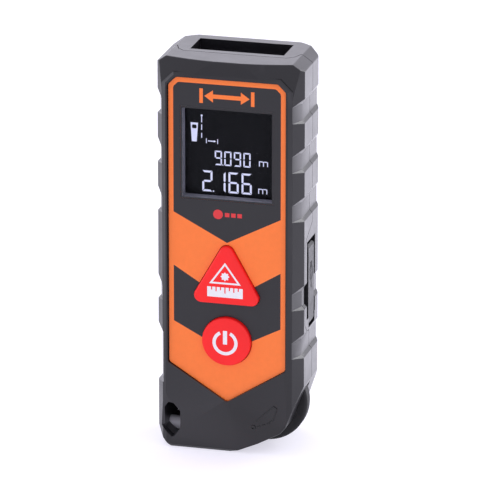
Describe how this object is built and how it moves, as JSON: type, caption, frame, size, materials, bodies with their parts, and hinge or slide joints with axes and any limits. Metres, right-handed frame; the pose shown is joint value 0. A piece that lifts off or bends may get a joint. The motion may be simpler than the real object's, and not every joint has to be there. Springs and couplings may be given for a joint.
{
  "type": "laser distance meter",
  "caption": "Pocket laser distance meter with stepped grip sides, keypad overlay, light-on-dark display, triangular measuring key, round power key, charging flap and a corner measuring wheel.",
  "frame": {"origin": "middle of the bounding box's bottom face; the base rests on the XY plane", "axes": "+Z points along the laser beam, out of the window end; -Y is the face with the display and keys; +X is the user's right"},
  "size_m": [0.0424, 0.0269, 0.1144],
  "materials": {
    "housing": "fine textured dark grey moulding",
    "overlay_orange": "orange printed film, satin",
    "overlay_print": "dark grey printed fields, satin",
    "window_glass": "clear polished pane",
    "bezel": "dark moulding",
    "lcd": "black reversed display",
    "backlight": "white light guide",
    "flex": "amber film circuit",
    "key_red": "red moulded key, soft edge",
    "membrane": "grey silicone rubber",
    "steel": "plated steel",
    "board": "green circuit laminate",
    "chips": "black epoxy packages",
    "magnet": "dark bonded magnet",
    "chassis": "black glass-filled moulding",
    "brass": "turned brass",
    "lens_glass": "coated lens glass",
    "filter_glass": "red interference filter",
    "cell": "blue shrink sleeve",
    "leads": "red insulated wire",
    "rubber_flap": "dark soft rubber",
    "wheel_rubber": "dark rubber rim",
    "wheel_plastic": "dark moulding",
    "plate": "blank anodised plate",
    "plate_light": "polished steel bar"
  },
  "bodies": {
    "housing": {"battery_cell": "cell", "battery_leads": "leads", "battery_pad": "membrane", "board_chips": "chips", "board_screws": "steel", "buzzer": "bezel", "charging_board": "board", "charging_socket": "steel", "collimator_lens": "lens_glass", "display_backlight": "backlight", "display_bezel": "bezel", "display_flex": "flex", "display_module": "lcd", "display_window": "window_glass", "dome_switches": "steel", "encoder_sensor": "board", "flap_pin": "steel", "front_housing": "housing", "housing_screws": "steel", "key_membrane": "membrane", "lanyard_pin": "plate_light", "laser_module": "brass", "main_board": "board", "optics_chassis": "chassis", "optics_screws": "steel", "overlay_film": "overlay_orange", "overlay_print": "overlay_print", "photodiode_board": "board", "rating_plate": "plate", "rear_housing": "housing", "receiver_filter": "filter_glass", "receiving_lens": "lens_glass", "top_window": "window_glass", "wheel_axle": "steel", "window_gasket": "membrane"},
    "meas_key": {"meas_key": "key_red"},
    "power_key": {"power_key": "key_red"},
    "port_flap": {"port_flap": "rubber_flap"},
    "wheel": {"wheel_tyre": "wheel_rubber", "wheel_hub": "wheel_plastic", "encoder_ring": "magnet"}
  },
  "joints": [
    {"name": "meas_key_press", "type": "slide", "parent": "housing", "child": "meas_key", "axis": [0, 1, 0], "range_m": [0, 0.0005], "stiffness_N_per_m": 4000},
    {"name": "power_key_press", "type": "slide", "parent": "housing", "child": "power_key", "axis": [0, 1, 0], "range_m": [0, 0.0005], "stiffness_N_per_m": 4000},
    {"name": "port_flap_swing", "type": "hinge", "parent": "housing", "child": "port_flap", "pos_m": [0.01985, 0.0006, 0.037], "axis": [0, 1, 0], "range_deg": [0, 95], "stiffness_Nm_per_rad": 0.0001, "springref_deg": -5.73},
    {"name": "wheel_spin", "type": "hinge", "parent": "housing", "child": "wheel", "pos_m": [0.0089, -0.0016, 0.0134], "axis": [0, 1, 0], "continuous": true}
  ]
}
